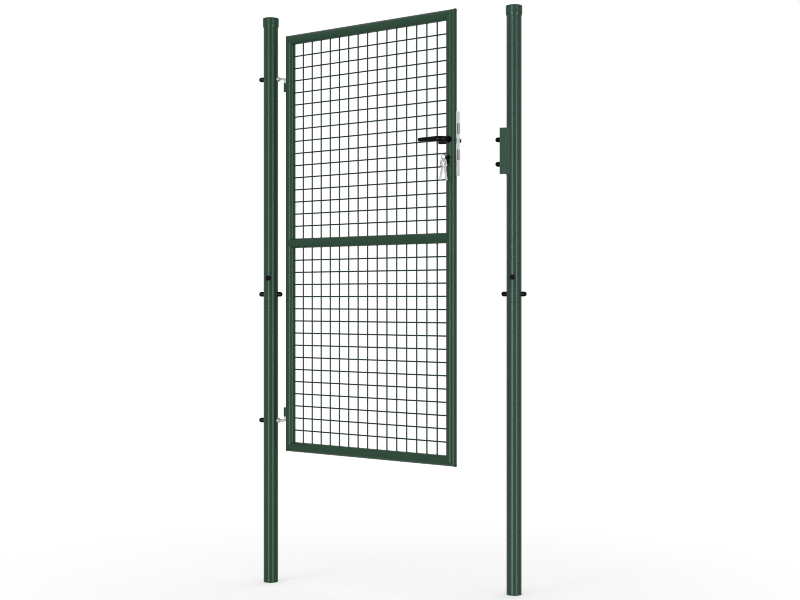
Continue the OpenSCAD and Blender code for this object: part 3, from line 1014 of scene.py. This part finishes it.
@dataclass(frozen=True)
class Studio:
    """Camera, floor, light and background."""

    camera_place: tuple[float, float, float] = (2.03697, -5.62584, 1.17165)
    camera_turn_deg: float = 14.75
    lens_mm: float = 64.43
    sensor_mm: float = 36.0
    view_far: float = 200.0
    # Width of the pixel filter, narrow for the photograph's crisp edges.
    pixel_blur: float = 0.9
    ambient: float = 0.80
    floor_size: float = 60.0
    floor_glow: float = 0.325
    floor_shade: float = 0.72
    floor_bounce: float = 0.75
    # Radii between which the painted shade round the gate fades out to white.
    pool_near: float = 0.9
    pool_far: float = 2.2
    boxes: tuple[SoftBox, ...] = (
        SoftBox("key_light", Shine.SHADE, HIGH_BOX, azimuth_deg=-35.0, radiance=3.2),
        SoftBox("back_light", Shine.SHADE, HIGH_BOX, azimuth_deg=160.0, radiance=1.6),
        SoftBox("left_strip", Shine.GLOSS, TALL_STRIP, azimuth_deg=-17.5, radiance=39.0,
                kept_off=METAL + LOCK_POST + STRIKE),
        SoftBox("right_strip", Shine.GLOSS, TALL_STRIP, azimuth_deg=52.0, radiance=38.0,
                kept_off=METAL + LOCK_POST),
        SoftBox("post_fill", Shine.SHADE, LOW_BOX, azimuth_deg=10.0, radiance=6.7,
                kept_to=LOCK_POST + STRIKE, colour=DUSK),
        SoftBox("strike_fill", Shine.SHADE, LOW_BOX, azimuth_deg=0.0, radiance=5.0, kept_to=STRIKE),
        SoftBox("post_left_strip", Shine.GLOSS, TALL_STRIP, azimuth_deg=-17.5, radiance=66.0,
                kept_to=LOCK_POST),
        SoftBox("post_right_strip", Shine.GLOSS, TALL_STRIP, azimuth_deg=54.0, radiance=40.0,
                kept_to=LOCK_POST),
    )

    def build(self) -> None:
        """Sets up the whole studio."""
        bpy.context.scene.view_settings.view_transform = "Standard"
        bpy.context.scene.cycles.filter_width = self.pixel_blur
        self.camera()
        centre = (CAD_BOX[0] + CAD_BOX[1]) / 2
        self.floor(centre)
        self.background()
        for box in self.boxes:
            box.build(centre)

    def camera(self) -> None:
        """Stands the camera where the photograph was taken from."""
        data = bpy.data.cameras.new("camera")
        data.lens = self.lens_mm
        data.sensor_width = self.sensor_mm
        data.clip_end = self.view_far
        camera = bpy.data.objects.new("camera", data)
        camera.location = self.camera_place
        camera.rotation_euler = (math.pi / 2, 0.0, math.radians(self.camera_turn_deg))
        bpy.context.scene.collection.objects.link(camera)
        bpy.context.scene.camera = camera

    @staticmethod
    def seen(sketch: NodeSketch) -> Socket:
        """Finds where the camera looks, straight or by way of a shiny or clear surface.

        Args:
            sketch: The tree.

        Returns:
            A socket that is 1 there and 0 elsewhere.
        """
        path = sketch.add("LightPath").outputs
        shiny = sketch.math("MAXIMUM", path["Is Glossy Ray"], path["Is Transmission Ray"])
        return sketch.math("MAXIMUM", path["Is Camera Ray"], shiny)

    def floor_material(self, centre: Vector) -> bpy.types.Material:
        """Makes the floor white, with shade only round the gate: there it takes lit shade over a faint
        glow, which keeps the real shadows and also paints a broad shade that fades out to plain white.

        Args:
            centre: The gate's middle, round which the floor takes shade.

        Returns:
            The new material.
        """
        material = bpy.data.materials.new("studio_floor")
        material.use_nodes = True
        material.node_tree.nodes.clear()
        sketch = NodeSketch(material.node_tree)
        glow = sketch.add("Emission", Color=WHITE, Strength=self.floor_glow)
        shade = sketch.add("BsdfDiffuse", Color=(self.floor_shade,) * 3 + (1,))
        bounce = sketch.add("BsdfDiffuse", Color=(self.floor_bounce,) * 3 + (1,))
        white = sketch.add("Emission", Color=WHITE, Strength=1.0)
        pool = sketch.add("AddShader")
        sketch.put(glow.outputs[0], pool.inputs[0])
        sketch.put(shade.outputs[0], pool.inputs[1])
        coords = sketch.add("TexCoord").outputs["Object"]
        # The fade paints a broad shade round the gate: the floor is darker near it and plain white from
        # pool_far on.
        spot = sketch.add("VectorMath")
        spot.operation = "DISTANCE"
        sketch.put(coords, spot.inputs[0])
        spot.inputs[1].default_value = (centre.x, centre.y, 0.0)
        fade = sketch.add("MapRange", Value=spot.outputs["Value"], From_Min=self.pool_near,
                          From_Max=self.pool_far)
        fade.interpolation_type = "SMOOTHSTEP"
        shown = self.mix(sketch, fade.outputs[0], pool, white)
        seen = self.mix(sketch, self.seen(sketch), bounce, shown)
        sketch.add("OutputMaterial", Surface=seen.outputs[0])
        return material

    def floor(self, centre: Vector) -> None:
        """Lays a plain white floor that keeps the gate's shadow, with a painted broad shade round the gate.

        Args:
            centre: The gate's middle.
        """
        shape = bmesh.new()
        bmesh.ops.create_grid(shape, x_segments=1, y_segments=1, size=self.floor_size / 2)
        mesh = bpy.data.meshes.new("studio_floor")
        shape.to_mesh(mesh)
        shape.free()
        mesh.materials.append(self.floor_material(centre))
        floor = bpy.data.objects.new("studio_floor", mesh)
        floor.visible_glossy = False
        floor.visible_shadow = False
        bpy.context.scene.collection.objects.link(floor)

    @staticmethod
    def mix(sketch: NodeSketch, share: Socket, low: bpy.types.Node, high: bpy.types.Node) -> bpy.types.Node:
        """Mixes two shaders.

        Args:
            sketch: The tree.
            share: The socket that goes from 0, the low shader, to 1, the high one.
            low: The first shader's node.
            high: The second shader's node.

        Returns:
            The Mix Shader node.
        """
        mixed = sketch.add("MixShader", Fac=share)
        sketch.put(low.outputs[0], mixed.inputs[1])
        sketch.put(high.outputs[0], mixed.inputs[2])
        return mixed

    def background(self) -> None:
        """Makes the world white to look at, and a plain soft light otherwise."""
        world = bpy.data.worlds.new("studio")
        world.use_nodes = True
        bpy.context.scene.world = world
        world.node_tree.nodes.clear()
        sketch = NodeSketch(world.node_tree)
        white = sketch.add("Background", Color=WHITE, Strength=1.0)
        soft = sketch.add("Background", Color=WHITE, Strength=self.ambient)
        mixed = self.mix(sketch, self.seen(sketch), soft, white)
        sketch.add("OutputWorld", Surface=mixed.outputs[0])


FOOT_TOP = 1 * MM
FOOT_EDGE = 1.8 * MM

EASED = (
    EasedNode("hinge_post_lower", Slot.GREEN_PAINT, Body.POSTS, FOOT_EDGE, segments=3, top=FOOT_TOP),
    EasedNode("lock_post_lower", Slot.GREEN_PAINT, Body.POSTS, FOOT_EDGE, segments=3, top=FOOT_TOP),
    EasedNode("strike_bracket", Slot.GREEN_PAINT, Body.POSTS, 0.5 * MM),
    EasedNode("gudgeon_nuts", Slot.ZINC, Body.POSTS, 0.5 * MM),
    EasedNode("lower_hinge_sleeve", Slot.GREEN_PAINT, Body.LEAF, 0.6 * MM),
    EasedNode("upper_hinge_sleeve", Slot.GREEN_PAINT, Body.LEAF, 0.6 * MM),
    EasedNode("lock_pocket", Slot.GREEN_PAINT, Body.LEAF, 0.6 * MM),
    EasedNode("lock_plate", Slot.ZINC, Body.LEAF, 0.4 * MM),
    EasedNode("lock_cylinder", Slot.BLACK_PAINT, Body.LEAF, 0.4 * MM),
    EasedNode("lever_roses", Slot.BLACK_PLASTIC, Body.LEAF, 0.8 * MM),
    EasedNode("latch", Slot.BOLT_STEEL, Body.LATCH, 0.5 * MM),
    EasedNode("deadbolt", Slot.BOLT_STEEL, Body.DEADBOLT, 0.6 * MM),
    EasedNode("key", Slot.ZINC, Body.LEAF, 0.4 * MM),
    EasedNode("hanging_keys", Slot.ZINC, Body.SPARE_KEYS, 0.4 * MM),
)


def main() -> None:
    """Builds the studio and every piece of the gate, in order."""
    logging.basicConfig(level=logging.INFO, format="%(name)s: %(message)s")
    paint = Paintbox(FINISHES)
    paint.dress_nodes(frame)
    axes = LeafAxes.from_joints(frame["joints"])
    MeshPanel("upper_mesh", "middle_rail", "top_rail").build(axes, paint)
    MeshPanel("lower_mesh", "bottom_rail", "middle_rail").build(axes, paint)
    LeafWelds().build(axes, paint)
    StrikeWelds().build(paint)
    SeamShadeLines().build(paint)
    GudgeonThreads().build(paint)
    LockScrews().build(axes, paint)
    for eased in EASED:
        eased.build(paint)
    Studio().build()


if __name__ == "__main__":
    main()
